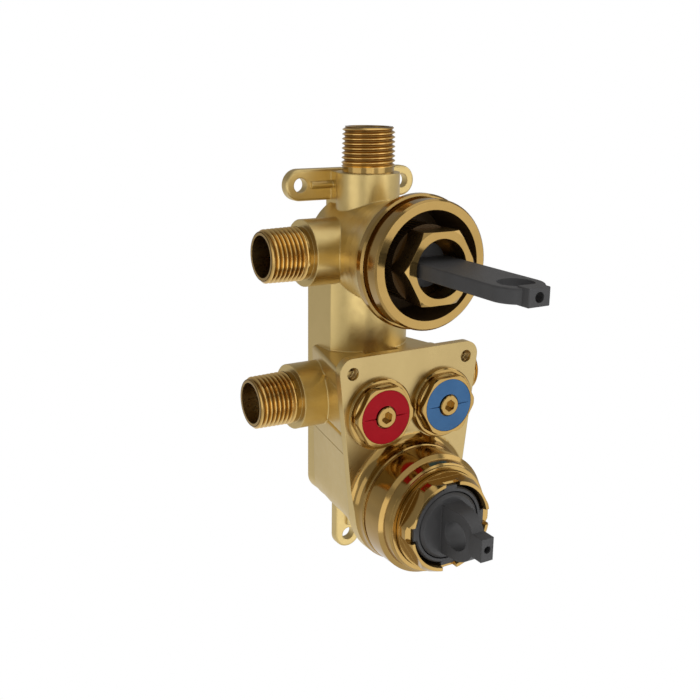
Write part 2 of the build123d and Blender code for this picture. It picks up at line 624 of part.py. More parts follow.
# Drive cup on the lead screw; two ears keep it from turning in the head
CUP_R = 7.0
CUP_WALL = 1.4
CUP_FRONT_Y = -49.0
CUP_BACK_Y = -38.5
CUP_FLOOR = 3.6
drive_cup = turned(
    [
        (LEAD_R + RUN_GAP, CUP_FRONT_Y),
        (CUP_R, CUP_FRONT_Y),
        (CUP_R, CUP_BACK_Y),
        (CUP_R - CUP_WALL, CUP_BACK_Y),
        (CUP_R - CUP_WALL, CUP_FRONT_Y + CUP_FLOOR),
        (LEAD_R + RUN_GAP, CUP_FRONT_Y + CUP_FLOOR),
    ]
)
EAR_HALF = 1.6
EAR_TIP_R = HOUSING_BORE_R - 1.2
for side in (-1, 1):
    x_ends = sorted((side * (CUP_R - 0.8), side * EAR_TIP_R))
    drive_cup += block(*x_ends, CUP_FRONT_Y, CUP_FRONT_Y + 2.2, -EAR_HALF, EAR_HALF)
nodes["drive_cup"] = drive_cup
KEY_GAP = 0.3
keys = []
for side in (-1, 1):
    for face in (-1, 1):
        x_ends = sorted((side * (CUP_R + 1.0), side * (HEAD_R - 1.0)))
        z_ends = sorted((face * (EAR_HALF + KEY_GAP), face * (EAR_HALF + KEY_GAP + 2.0)))
        keys.append(block(*x_ends, HEAD_BACK_Y - 0.5, HEAD_BACK_Y + 7.0, *z_ends))
nodes["mixing_head"] = head + keys

# Wax element, spool and springs
ELEMENT_R = 4.6
ELEMENT_FRONT_Y = -36.5
ELEMENT_BACK_Y = -17.5
ELEMENT_FLANGE_R = 5.3
PUSHER_R = 2.2
element = turned(
    [
        (0, ELEMENT_FRONT_Y - 3.5),
        (PUSHER_R, ELEMENT_FRONT_Y - 3.5),
        (PUSHER_R, ELEMENT_FRONT_Y),
        (ELEMENT_FLANGE_R, ELEMENT_FRONT_Y),
        (ELEMENT_FLANGE_R, ELEMENT_FRONT_Y + 2.0),
        (ELEMENT_R, ELEMENT_FRONT_Y + 2.0),
        (ELEMENT_R, ELEMENT_BACK_Y - 1.0),
        (ELEMENT_R - 1.0, ELEMENT_BACK_Y),
        (0, ELEMENT_BACK_Y),
    ]
)
nodes["wax_element"] = element

SPOOL_R = HOUSING_BORE_R - SLIDE_GAP
SPOOL_FRONT_Y = -36.2
SPOOL_BACK_Y = -30.6
SPOOL_WALL = 1.6
spool = turned(
    [
        (SPOOL_R - SPOOL_WALL, SPOOL_FRONT_Y),
        (SPOOL_R, SPOOL_FRONT_Y),
        (SPOOL_R, SPOOL_BACK_Y),
        (SPOOL_R - SPOOL_WALL, SPOOL_BACK_Y),
    ]
)
spool += turned(
    [
        (ELEMENT_R, ELEMENT_FRONT_Y + 2.0),
        (ELEMENT_R + 2.4, ELEMENT_FRONT_Y + 2.0),
        (ELEMENT_R + 2.4, SPOOL_BACK_Y),
        (ELEMENT_R, SPOOL_BACK_Y),
    ]
)
for arm in range(3):
    web = block(ELEMENT_R + 1.0, SPOOL_R - 1.0, ELEMENT_FRONT_Y + 2.0, SPOOL_BACK_Y, -1.2, 1.2)
    spool += Rot(0, 120 * arm, 0) * web
nodes["regulating_spool"] = spool

SPRING_WIRE_R = 0.7
RETURN_R = 9.4
nodes["return_spring"] = coil_y(
    RETURN_R, SPRING_WIRE_R, SPOOL_BACK_Y + 1.0, HOUSING_BACK_Y - 3.0, 4
)
spool_seat = rod_y(RETURN_R + 1.6, SPOOL_BACK_Y - 0.9, SPOOL_BACK_Y)
spool_seat -= rod_y(RETURN_R - 1.6, SPOOL_BACK_Y - 2, SPOOL_BACK_Y + 1)
nodes["regulating_spool"] = spool + spool_seat
OVERTRAVEL_R = 4.3
nodes["overtravel_spring"] = coil_y(
    OVERTRAVEL_R, SPRING_WIRE_R, CUP_FRONT_Y + CUP_FLOOR + 1.0, ELEMENT_FRONT_Y - 1.0, 3
)

# Black limit ring with lugs in the nut's slots, and the adapter that turns inside it
LIMIT_FRONT_Y = NUT_FRONT_Y + 1.6
LIMIT_BACK_Y = -72.0
LIMIT_BORE_R = 13.6
limit_ring = turned(
    [
        (LIMIT_BORE_R, LIMIT_FRONT_Y),
        (NUT_HOLE_R - 0.9, LIMIT_FRONT_Y),
        (NUT_HOLE_R - 0.3, LIMIT_FRONT_Y + 0.6),
        (NUT_HOLE_R - 0.3, LIMIT_BACK_Y),
        (LIMIT_BORE_R, LIMIT_BACK_Y),
    ]
)
for lug_turn in range(4):
    lug_half = SLOT_HALF - 0.2
    lug_back_y = NUT_FRONT_Y + SLOT_DEPTH - SLIDE_GAP
    lug = block(-lug_half, lug_half, LIMIT_FRONT_Y, lug_back_y, NUT_HOLE_R - 1, NUT_HOLE_R + 0.6)
    limit_ring += Rot(0, 90 * lug_turn, 0) * lug
nodes["limit_ring"] = limit_ring

HUB_R = LIMIT_BORE_R - LOOSE_GAP
HUB_BACK_Y = -68.0
HUB_FRONT_Y = NUT_FRONT_Y + 0.6
FIN_ROOT_T = 4.4
FIN_END_T = 2.7
FIN_REACH = 22.2
FIN_TIP_Y = HUB_FRONT_Y - FIN_REACH
FIN_EYE_BACK = 14.4
FIN_EYE_Y = FIN_TIP_Y + FIN_EYE_BACK
FIN_EYE_R = 5.6
FIN_TIP_HALF = 4.5
FIN_TIP_BLOCK = 7.5
FIN_HOLE_R = 1.44
adapter = turned(
    [
        (0, HUB_FRONT_Y),
        (HUB_R - 1.2, HUB_FRONT_Y),
        (HUB_R, HUB_FRONT_Y + 1.2),
        (HUB_R, HUB_BACK_Y),
        (0, HUB_BACK_Y),
    ]
)
fin_plane = Plane(origin=(-2 * FIN_ROOT_T, 0, 0), x_dir=(0, 1, 0), z_dir=(1, 0, 0))
fin_run = HUB_FRONT_Y + 2.0 - FIN_EYE_Y
fin_outline = Rectangle(fin_run, 2 * BAR_HALF_W, align=(Align.MIN, Align.CENTER)) + Circle(BAR_HALF_W)
fin = extrude(fin_plane * Pos(FIN_EYE_Y, 0) * fin_outline, 4 * FIN_ROOT_T)
fin += block(-FIN_END_T, FIN_END_T, FIN_TIP_Y, FIN_TIP_Y + FIN_TIP_BLOCK, -FIN_TIP_HALF, FIN_TIP_HALF)
taper = Polyline(
    (-FIN_ROOT_T, HUB_FRONT_Y + 3.0),
    (FIN_ROOT_T, HUB_FRONT_Y + 3.0),
    (FIN_ROOT_T, HUB_FRONT_Y - 1.0),
    (FIN_END_T, FIN_TIP_Y + FIN_TIP_BLOCK),
    (FIN_END_T, FIN_TIP_Y - 1.0),
    (-FIN_END_T, FIN_TIP_Y - 1.0),
    (-FIN_END_T, FIN_TIP_Y + FIN_TIP_BLOCK),
    (-FIN_ROOT_T, HUB_FRONT_Y - 1.0),
    close=True,
)
fin &= Pos(0, 0, -2 * BAR_HALF_W) * extrude(make_face(taper), 4 * BAR_HALF_W, dir=(0, 0, 1))
adapter += fin
adapter -= rod_x(FIN_EYE_R, -2 * FIN_ROOT_T, 2 * FIN_ROOT_T, FIN_EYE_Y, 0)
adapter -= rod_y(FIN_HOLE_R, FIN_TIP_Y - 1, FIN_EYE_Y)
adapter -= rod_y(SPINDLE_SPLINE_R, SPINDLE_FRONT_Y, HUB_BACK_Y + 1)
nodes["temperature_adapter"] = adapter

# Service stops: bonnet, coloured disc, stem and plunger on each side
BONNET_RIM_Y = PLATE_Y - 2.1
BONNET_NECK_R = 12.2
BONNET_HEX_Y = BONNET_RIM_Y - 0.7
BONNET_FRONT_Y = -55.8
BONNET_FLATS = 22.8
BONNET_CORNER_R = BONNET_FLATS / 2 / 0.866
MARK_R = 10.7
MARK_T = 1.2
MARK_HOLE_R = 4.5
STOP_STEM_R = 4.1
STOP_STEM_FRONT_Y = -58.7
STOP_COLLAR_R = 5.4
STOP_COLLAR_Y = -52.4
STOP_SCREW_R = 2.9
PLUNGER_R = 6.0
PLUNGER_FLAT = 4.9
PLUNGER_FRONT_Y = -47.5
PLUNGER_BACK_Y = -33.0
BONNET_BACK_Y = STOP_STEP_Y - 0.3
SOCKET_FLATS = 4.0


def stop_pieces(x):
    """Bonnet, disc, stem, plunger and the plunger's seal of one service stop."""
    cone = turned(
        [
            (0, BONNET_FRONT_Y),
            (BONNET_CORNER_R - 1.3, BONNET_FRONT_Y),
            (BONNET_CORNER_R + 0.2, BONNET_FRONT_Y + 1.0),
            (BONNET_CORNER_R + 0.2, BONNET_HEX_Y),
            (0, BONNET_HEX_Y),
        ],
        x,
        STOP_Z,
    )
    bonnet = hexagon_y(BONNET_FLATS, BONNET_FRONT_Y, BONNET_HEX_Y, x, STOP_Z) & cone
    bonnet += turned(
        [
            (0, BONNET_HEX_Y - 0.5),
            (BONNET_NECK_R - 1.2, BONNET_HEX_Y - 0.5),
            (BONNET_NECK_R, BONNET_HEX_Y),
            (BONNET_NECK_R, BONNET_RIM_Y),
            (BONNET_R - 0.5, BONNET_RIM_Y),
            (BONNET_R, BONNET_RIM_Y + 0.5),
            (BONNET_R, PLATE_Y),
            (STOP_THREAD_R - THREAD_GAP, PLATE_Y),
            (STOP_THREAD_R - THREAD_GAP, BONNET_BACK_Y),
            (0, BONNET_BACK_Y),
        ],
        x,
        STOP_Z,
    )
    bonnet -= rod_y(MARK_R + 0.05, BONNET_FRONT_Y - 1, BONNET_FRONT_Y + MARK_T, x, STOP_Z)
    bonnet -= rod_y(STOP_STEM_R + RUN_GAP, BONNET_FRONT_Y - 1, BONNET_BACK_Y + 1, x, STOP_Z)
    cavity = rod_y(PLUNGER_R + SLIDE_GAP, STOP_COLLAR_Y - 0.1, BONNET_BACK_Y + 1, x, STOP_Z)
    flat = PLUNGER_FLAT + SLIDE_GAP
    cavity &= block(x - 20, x + 20, STOP_COLLAR_Y - 5, BONNET_BACK_Y + 5, STOP_Z - flat, STOP_Z + flat)
    cavity += rod_y(STOP_COLLAR_R + LOOSE_GAP, STOP_COLLAR_Y - 0.1, PLUNGER_FRONT_Y - 2.6, x, STOP_Z)
    bonnet -= cavity

    mark = rod_y(MARK_R, BONNET_FRONT_Y, BONNET_FRONT_Y + MARK_T, x, STOP_Z)
    mark -= rod_y(MARK_HOLE_R, BONNET_FRONT_Y - 1, BONNET_FRONT_Y + 3, x, STOP_Z)

    stem_piece = turned(
        [
            (0, STOP_STEM_FRONT_Y),
            (STOP_STEM_R - 0.5, STOP_STEM_FRONT_Y),
            (STOP_STEM_R, STOP_STEM_FRONT_Y + 0.5),
            (STOP_STEM_R, STOP_COLLAR_Y),
            (STOP_COLLAR_R, STOP_COLLAR_Y),
            (STOP_COLLAR_R, STOP_COLLAR_Y + 1.8),
            (STOP_SCREW_R, STOP_COLLAR_Y + 1.8),
            (STOP_SCREW_R, PLUNGER_FRONT_Y + 8.0),
            (0, PLUNGER_FRONT_Y + 8.0),
        ],
        x,
        STOP_Z,
    )
    stem_piece -= hexagon_y(SOCKET_FLATS, STOP_STEM_FRONT_Y - 1, STOP_STEM_FRONT_Y + 3.0, x, STOP_Z, turn=20)

    plunger = rod_y(PLUNGER_R, PLUNGER_FRONT_Y, PLUNGER_BACK_Y, x, STOP_Z)
    flat = PLUNGER_FLAT
    plunger &= block(x - 20, x + 20, PLUNGER_FRONT_Y - 5, PLUNGER_BACK_Y + 5, STOP_Z - flat, STOP_Z + flat)
    plunger -= rod_y(STOP_SCREW_R + RUN_GAP, PLUNGER_FRONT_Y - 1, PLUNGER_FRONT_Y + 9.0, x, STOP_Z)
    plunger += rod_y(1.6, PLUNGER_BACK_Y - 1, PLUNGER_BACK_Y + 2.2, x, STOP_Z)
    seal = rod_y(PLUNGER_R - 0.3, PLUNGER_BACK_Y, PLUNGER_BACK_Y + 2.2, x, STOP_Z)
    seal -= rod_y(1.6, PLUNGER_BACK_Y - 1, PLUNGER_BACK_Y + 3, x, STOP_Z)
    return {"bonnet": bonnet, "mark": mark, "stem": stem_piece, "plunger": plunger, "seal": seal}


for side, name in ((-1, "hot"), (1, "cold")):
    made = stop_pieces(side * STOP_X)
    nodes[name + "_stop_bonnet"] = made["bonnet"]
    nodes[name + "_indicator_disc"] = made["mark"]
    nodes[name + "_stop_stem"] = made["stem"]
    nodes[name + "_stop_plunger"] = made["plunger"]
    nodes[name + "_plunger_seal"] = made["seal"]

# Check valves in the two inlets: cage, poppet and spring
CAGE_LEN = 9.0
CAGE_R = PIPE_BORE_R - 0.05
CAGE_WALL = 1.0
CAGE_SEAT_T = 1.2
CAGE_HOLE_R = 5.0
POPPET_R = 6.0
POPPET_T = 1.6
POPPET_STEM_R = 1.3
GUIDE_T = 1.2
CHECK_SPRING_R = 2.9
CHECK_WIRE_R = 0.4


def check_pieces():
    """Cage, poppet and spring along +X, the way the water runs; the cage's step is at x = 0."""
    cage = rod_x(CAGE_R, -CAGE_LEN, 0, 0, 0)
    cage -= rod_x(CAGE_HOLE_R, -CAGE_LEN - 1, 1, 0, 0)
    cage -= rod_x(CAGE_R - CAGE_WALL, -CAGE_LEN + CAGE_SEAT_T, 1, 0, 0)
    for turn in range(3):
        bar_piece = block(-GUIDE_T, 0, 1.9, CAGE_R - 0.4, -0.8, 0.8)
        cage += Rot(120 * turn, 0, 0) * bar_piece
    guide = rod_x(2.2, -GUIDE_T, 0, 0, 0) - rod_x(POPPET_STEM_R + RUN_GAP, -9, 1, 0, 0)
    cage += guide
    face_x = -CAGE_LEN + CAGE_SEAT_T
    poppet = rod_x(POPPET_R, face_x, face_x + POPPET_T, 0, 0)
    poppet += rod_x(POPPET_STEM_R, face_x, 0.6, 0, 0)
    path = Helix((-GUIDE_T - face_x - POPPET_T - 0.8) / 3, -GUIDE_T - face_x - POPPET_T - 0.8, CHECK_SPRING_R)
    ring = Plane(origin=path @ 0, z_dir=path % 0) * RegularPolygon(CHECK_WIRE_R, 6)
    spring = Pos(face_x + POPPET_T + 0.4, 0, 0) * Rot(0, 90, 0) * sweep(ring, path, is_frenet=True)
    return {"cage": cage, "poppet": poppet, "spring": spring}


for side, name in ((-1, "hot"), (1, "cold")):
    made = check_pieces()
    turn = 0 if side < 0 else 180
    place = Pos(side * CHECK_BORE_X, PIPE_Y, STOP_Z) * Rot(0, 0, turn)
    for key, piece in made.items():
        nodes[f"{name}_check_{key}"] = place * piece

os.makedirs("parts", exist_ok=True)
for node_name, shape in nodes.items():
    export_step(shape, f"parts/{node_name}.step")
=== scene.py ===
import bpy
import bmesh
import json
import math
from mathutils import Matrix, Vector


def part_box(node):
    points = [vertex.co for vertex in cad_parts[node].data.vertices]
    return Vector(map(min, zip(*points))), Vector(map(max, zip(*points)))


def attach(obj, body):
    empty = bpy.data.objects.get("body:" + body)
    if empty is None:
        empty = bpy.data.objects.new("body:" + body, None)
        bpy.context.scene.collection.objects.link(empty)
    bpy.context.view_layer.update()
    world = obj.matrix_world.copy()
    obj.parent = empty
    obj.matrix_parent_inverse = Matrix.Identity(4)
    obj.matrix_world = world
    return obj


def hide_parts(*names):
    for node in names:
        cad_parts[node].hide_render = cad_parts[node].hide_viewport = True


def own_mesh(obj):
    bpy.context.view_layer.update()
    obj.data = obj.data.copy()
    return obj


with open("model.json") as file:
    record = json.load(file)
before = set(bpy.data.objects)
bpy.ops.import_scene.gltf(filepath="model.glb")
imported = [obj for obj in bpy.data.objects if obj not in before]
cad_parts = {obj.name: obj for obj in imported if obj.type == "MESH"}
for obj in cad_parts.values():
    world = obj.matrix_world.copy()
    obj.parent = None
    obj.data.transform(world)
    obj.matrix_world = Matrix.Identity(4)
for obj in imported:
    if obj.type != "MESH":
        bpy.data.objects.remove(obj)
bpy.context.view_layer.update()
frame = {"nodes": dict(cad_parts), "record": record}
scene = bpy.context.scene
nodes = frame["nodes"]
MM = 0.001

# Sizes that the looks share with the solids, in millimetres
PIPE_R = 10.67
PIPE_BORE_R = 8.2
THREAD_LEN = 15.3
NECK_R = 10.3
PIPE_Y = -16.0
DIVERTER_Z = 96.7
STOP_X = 14.7
STOP_Z = 38.7
OUTLET_X = 47.4
INLET_X = 52.8
TOP_Z = 144.6
PLATE_Y = -50.25
PLATE_BACK_Y = -46.65
PLATE_EDGE_X = 24.4
PLATE_EDGE_SLOPE = 0.1104
TRIM_X = 26.3
TRIM_Z = 56.0
TRIM_R = 2.5
PITCH = 1.814
THREAD_DEPTH = 1.12
THREAD_TAPER = 0.022
TIP_CHAMFER = 1.25
RUN_OUT = 0.55


# Camera, fitted to the photograph: 50 mm lens, square frame
camera_data = bpy.data.cameras.new("camera")
camera_data.lens = 50.0
camera_data.sensor_width = 36.0
camera_data.sensor_fit = "HORIZONTAL"
camera_data.clip_start = 0.01
camera = bpy.data.objects.new("camera", camera_data)
scene.collection.objects.link(camera)
right = Vector((0.8598482, -0.5104140, 0.0117720))
up = Vector((0.1290324, 0.2395625, 0.9622684))
forward = Vector((0.4939754, 0.8258858, -0.2718473))
place = Matrix.Identity(4)
for row in range(3):
    place[row][0] = right[row]
    place[row][1] = up[row]
    place[row][2] = -forward[row]
place[0][3] = -0.205837
place[1][3] = -0.347839
place[2][3] = 0.163683
camera.matrix_world = place
scene.camera = camera
scene.view_settings.view_transform = "Standard"


# Small helpers for shader nodes
class Tree:
    """A material's node tree, with short calls to add and join nodes."""

    def __init__(self, name):
        self.material = bpy.data.materials.new(name)
        self.material.use_nodes = True
        self.tree = self.material.node_tree
        self.shader = self.tree.nodes["Principled BSDF"]

    def add(self, kind, **inputs):
        node = self.tree.nodes.new("ShaderNode" + kind)
        for key, value in inputs.items():
            if hasattr(node, key):
                setattr(node, key, value)
            else:
                self.feed(node, key, value)
        return node

    def feed(self, node, key, value):
        socket = node.inputs[int(key[1:])] if key[0] == "i" and key[1:].isdigit() else node.inputs[key]
        if isinstance(value, bpy.types.NodeSocket):
            self.tree.links.new(value, socket)
        else:
            socket.default_value = value

    def set(self, **inputs):
        for key, value in inputs.items():
            self.feed(self.shader, key.replace("_", " "), value)

    def point(self):
        return self.add("TexCoord").outputs["Object"]

    def noise(self, scale, detail=3.0, rough=0.5, vector=None, stretch=None):
        vector = vector or self.point()
        if stretch:
            vector = self.add("Mapping", Vector=vector, Scale=stretch).outputs[0]
        node = self.add("TexNoise", Vector=vector, Scale=scale, Detail=detail, Roughness=rough)
        return node.outputs["Fac"]

    def ramp(self, value, low, high, start=0.0, end=1.0):
        node = self.add("MapRange", Value=value)
        for key, number in zip(("From Min", "From Max", "To Min", "To Max"), (start, end, low, high)):
            node.inputs[key].default_value = number
        return node.outputs[0]

    def mix(self, factor, first, second):
        node = self.add("Mix", data_type="RGBA")
        for index, value in ((0, factor), (6, first), (7, second)):
            if isinstance(value, bpy.types.NodeSocket):
                self.tree.links.new(value, node.inputs[index])
            else:
                node.inputs[index].default_value = value if index == 0 else (*value, 1.0)
        return node.outputs[2]

    def maths(self, operation, first, second=0.0):
        return self.add("Math", operation=operation, i0=first, i1=second).outputs[0]

    def bump(self, height, distance, strength=1.0, normal=None):
        node = self.add("Bump", Height=height, Distance=distance, Strength=strength)
        if normal:
            self.feed(node, "Normal", normal)
        return node.outputs[0]

    def rounded(self, radius):
        return self.add("Bevel", samples=4, Radius=radius).outputs[0]


def cast_brass():
    """Satin bead-blasted casting: fine grain, slow tone drift, lighter blotches, edges rounded in shading.
    """
    t = Tree("cast_brass")
    drift = t.noise(55.0, 4.0, 0.6)
    grain = t.noise(2600.0, 2.0, 0.5)
    blotch = t.noise(380.0, 3.0, 0.55)
    tone = t.mix(t.ramp(drift, 0.0, 1.0, 0.3, 0.7), (0.65, 0.490, 0.200), (0.70, 0.530, 0.225))
    tone = t.mix(t.ramp(blotch, 0.0, 0.35, 0.45, 0.75), tone, (0.73, 0.565, 0.255))
    rough = t.ramp(blotch, 0.30, 0.40, 0.3, 0.7)
    normal = t.rounded(0.0007)
    normal = t.bump(blotch, 0.00003, 0.5, normal)
    normal = t.bump(grain, 0.000008, 0.5, normal)
    t.set(Base_Color=tone, Metallic=1.0, Roughness=rough, Normal=normal)
    return t.material


def turned_brass(name, tint_low, tint_high, rough_low, rough_high, marks=0.000004, metal=1.0):
    """Machined brass: fine turning marks, slight tarnish drift."""
    t = Tree(name)
    drift = t.noise(70.0, 4.0, 0.6)
    grain = t.noise(900.0, 3.0, 0.6)
    lines = t.noise(40.0, 2.0, 0.6, stretch=(1.0, 220.0, 1.0))
    tone = t.mix(t.ramp(drift, 0.0, 1.0, 0.3, 0.7), tint_low, tint_high)
    wear = t.maths("ADD", t.maths("MULTIPLY", grain, 0.5), t.maths("MULTIPLY", lines, 0.5))
    rough = t.ramp(wear, rough_low, rough_high, 0.3, 0.7)
    normal = t.rounded(0.00025)
    normal = t.bump(lines, marks, 0.5, normal)
    t.set(Base_Color=tone, Metallic=metal, Roughness=rough, Normal=normal)
    return t.material


def thread_brass():
    """Cut thread: bright crests, with painted shade darkening the roots."""
    t = Tree("thread_brass")
    height = t.add("Attribute", attribute_name="crest").outputs["Fac"]
    drift = t.noise(160.0, 3.0, 0.6)
    crest = t.mix(t.ramp(drift, 0.0, 1.0, 0.3, 0.7), (0.74, 0.490, 0.165), (0.80, 0.545, 0.200))
    # The dark root tone is painted shade in the thread's grooves, set by each corner's height from root to
    # crest.
    tone = t.mix(t.ramp(height, 0.0, 1.0, 0.05, 0.85), (0.30, 0.168, 0.044), crest)
    rough = t.ramp(height, 0.34, 0.15)
    t.set(Base_Color=tone, Metallic=1.0, Roughness=rough, Normal=t.rounded(0.00008))
    return t.material


def moulded(name, dark, light, rough_low, rough_high, edge=0.0004, grain_depth=0.000012):
    """Moulded plastic: fine spark-eroded grain, faint flow tone."""
    t = Tree(name)
    flow = t.noise(90.0, 3.0, 0.6)
    grain = t.noise(2400.0, 2.0, 0.5)
    tone = t.mix(t.ramp(flow, 0.0, 1.0, 0.3, 0.7), dark, light)
    rough = t.ramp(grain, rough_low, rough_high, 0.3, 0.7)
    normal = t.bump(grain, grain_depth, 0.6, t.rounded(edge))
    t.set(Base_Color=tone, Roughness=rough, Normal=normal)
    return t.material


CAST = cast_brass()
FACE = turned_brass("milled_face", (0.45, 0.335, 0.146), (0.49, 0.368, 0.163), 0.26, 0.34)
BRIGHT = turned_brass("bright_brass", (0.385, 0.245, 0.078), (0.44, 0.288, 0.098), 0.09, 0.16)
THREAD = thread_brass()
BORE = turned_brass("bore_brass", (0.40, 0.270, 0.105), (0.48, 0.330, 0.135), 0.24, 0.36)
# Painted shade: a near-black brown that stands in for the shade deep in the diverter's recess and round the
# gland nut.
RECESS_SHADE = turned_brass("recess_painted_shade", (0.070, 0.040, 0.014), (0.090, 0.052, 0.019), 0.42, 0.54, metal=0.5)
DULL = turned_brass("dull_brass", (0.42, 0.30, 0.12), (0.50, 0.37, 0.16), 0.28, 0.38)
BLACK = moulded("black_plastic", (0.050, 0.050, 0.052), (0.064, 0.064, 0.066), 0.44, 0.56)
RED = moulded("red_plastic", (0.42, 0.004, 0.012), (0.48, 0.006, 0.016), 0.40, 0.50, 0.00015)
BLUE = moulded("blue_plastic", (0.055, 0.165, 0.370), (0.070, 0.195, 0.420), 0.34, 0.44, 0.00015)
DISC_GLOSS = 0.12
for disc in (RED, BLUE):
    disc.node_tree.nodes["Principled BSDF"].inputs["Specular IOR Level"].default_value = DISC_GLOSS
WHITE = moulded("white_plastic", (0.66, 0.66, 0.63), (0.74, 0.74, 0.71), 0.38, 0.48)
RUBBER = moulded("rubber", (0.018, 0.018, 0.018), (0.028, 0.028, 0.028), 0.60, 0.72)
CERAMIC = moulded("ceramic", (0.80, 0.79, 0.75), (0.86, 0.85, 0.81), 0.10, 0.18, 0.0001, 0.000004)
STEEL = turned_brass("steel", (0.52, 0.52, 0.52), (0.62, 0.62, 0.62), 0.22, 0.32)

FINISH = {
    "cast_brass": CAST,
    "machined_brass": BRIGHT,
    "dark_brass": DULL,
    "black_plastic": BLACK,
    "red_plastic": RED,
    "blue_plastic": BLUE,
    "white_plastic": WHITE,
    "rubber": RUBBER,
    "ceramic": CERAMIC,
    "steel": STEEL,
}
slot_of = {entry["node"]: entry["material_slot"] for entry in frame["record"]["subparts"]}
for name, obj in nodes.items():
    obj.data.materials.clear()
    obj.data.materials.append(FINISH[slot_of[name]])


# The casting: the solid's own mesh, with cut threads on the five pipe ends and walls behind the plate.
# Pipe ends: tip and the way they point, for the top, the two outlets and the two inlets
PIPES = (
    (Vector((0, PIPE_Y, TOP_Z)), Vector((0, 0, 1))),
    (Vector((-OUTLET_X, PIPE_Y, DIVERTER_Z)), Vector((-1, 0, 0))),
    (Vector((OUTLET_X, PIPE_Y, DIVERTER_Z)), Vector((1, 0, 0))),
    (Vector((-INLET_X, PIPE_Y, STOP_Z)), Vector((-1, 0, 0))),
    (Vector((INLET_X, PIPE_Y, STOP_Z)), Vector((1, 0, 0))),
)
CASTING_FINISHES = (CAST, FACE, BRIGHT, THREAD, BORE, RECESS_SHADE)
AS_CAST, MILLED, TURNED, THREADED, BORED, SUNK_SHADE = range(len(CASTING_FINISHES))

# One turn of the thread's outline: (share of the pitch, height from root to crest)
THREAD_OUTLINE = ((0.0, 0.0), (0.14, 0.0), (0.50, 1.0), (0.64, 1.0))
THREAD_AROUND = 96


def thread_mesh(mesh, layer, tip, out):
    """Adds one cut pipe thread to a mesh: rows that follow the helix, with a chamfered tip and run-out."""
    crest_layer = mesh.verts.layers.float["crest"]
    across = Vector((0, 1, 0))
    aside = out.cross(across)
    around = THREAD_AROUND

    def way(step):
        angle = 2 * math.pi * step / around
        return across * math.cos(angle) + aside * math.sin(angle)

    rings = []
    for turn in range(-2, int(THREAD_LEN / PITCH) + 3):
        for share, height in THREAD_OUTLINE:
            ring = []
            for step in range(around + 1):
                along = (turn + share + step / around) * PITCH
                run = min(max(along, 0.0), THREAD_LEN)
                crest = PIPE_R - THREAD_TAPER * run
                radius = crest - THREAD_DEPTH * (1.0 - height)
                radius = min(radius, PIPE_R - TIP_CHAMFER + (THREAD_LEN - run))
                radius = max(radius, min(crest, NECK_R - run * RUN_OUT))
                corner = mesh.verts.new((tip + out * (run - THREAD_LEN) + way(step) * radius) * MM)
                # Height from root to crest, 0 at the root and 1 at the crest; thread_brass paints shade
                # into the roots by it.
                corner[crest_layer] = min(max(1.0 - (crest - radius) / THREAD_DEPTH, 0.0), 1.0)
                ring.append(corner)
            rings.append(ring)
    faces = []
    for low, high in zip(rings, rings[1:]):
        strip = []
        for step in range(around):
            strip.append(mesh.faces.new((low[step], low[step + 1], high[step + 1], high[step])))
        for face in strip:
            face.normal_update()
        for step, face in enumerate(strip):
            before = (strip[max(step - 1, 0)].normal + face.normal).normalized()
            after = (strip[min(step + 1, around - 1)].normal + face.normal).normalized()
            for loop, normal in zip(face.loops, (before, after, after, before)):
                loop[layer] = normal
        faces += strip
    lip = []
    rim = []
    for step in range(around + 1):
        lip.append(mesh.verts.new((tip + way(step) * PIPE_BORE_R) * MM))
        rim.append(mesh.verts.new((tip + way(step) * (PIPE_R - TIP_CHAMFER)) * MM))
    flat = [mesh.faces.new((rim[step], rim[step + 1], lip[step + 1], lip[step])) for step in range(around)]
    for face in flat:
        for loop in face.loops:
            loop[layer] = out
    return faces, flat


def facing(face, loop, limit=0.7):
    """Normal at a face's corner, averaged over the neighbours that meet it smoothly."""
    total = Vector()
    for other in loop.vert.link_faces:
        if other.normal.dot(face.normal) > limit:
            total += other.normal * other.calc_area()
    return total.normalized()


def keep_normals(faces, layer):
    """Stores the smoothed normals of new faces beside those kept from the solid."""
    for face in faces:
        face.normal_update()
    for face in faces:
        for loop in face.loops:
            loop[layer] = facing(face, loop)


TAP_PITCH = 0.9
TAP_DEPTH = 0.42
TAP_GAP = 0.03
TAP_START = 0.45
TAP_ROWS = 16
TAP_AROUND = 32


def hole_thread(mesh, layer, x, z):
    """Tapped thread inside one trim-screw hole of the plate."""
    rings = []
    for row in range(TAP_ROWS):
        ring = []
        for step in range(TAP_AROUND + 1):
            angle = 2 * math.pi * step / TAP_AROUND
            radius = TRIM_R - TAP_GAP - (TAP_DEPTH if row % 2 else 0.0)
            y = PLATE_Y + TAP_START + (row / 2 + step / TAP_AROUND) * TAP_PITCH
            spot = Vector((x + radius * math.cos(angle), y, z + radius * math.sin(angle)))
            ring.append(mesh.verts.new(spot * MM))
        rings.append(ring)
    faces = []
    for low, high in zip(rings, rings[1:]):
        for step in range(TAP_AROUND):
            faces.append(mesh.faces.new((low[step], low[step + 1], high[step + 1], high[step])))
    keep_normals(faces, layer)
    return faces


# Cheeks of the casting behind the plate: lowest, highest, how far back, and the inner side at the back and
# at the plate, clear of the bores; None is just inside the plate's edge
CHEEKS = (
    (20.5, 30.0, -8.0, 16.1, None),
    (29.5, 49.0, -26.0, 22.4, None),
    (48.2, 56.3, -8.0, 8.0, 8.0),
)
CHEEK_BACK_X = 18.6
CHEEK_ROUND = 1.6
CHEEK_STEPS = 4
CHEEK_WALL = 2.2
CHEEK_OVERLAP = 0.3


def wall_x(z, y, inset=0.0):
    """Half-width of the casting's side wall, from the plate's edge in to the column."""
    front = PLATE_EDGE_X + PLATE_EDGE_SLOPE * z - inset
    share = (y - PLATE_BACK_Y) / (0.0 - PLATE_BACK_Y)
    return front + (CHEEK_BACK_X - inset - front) * share


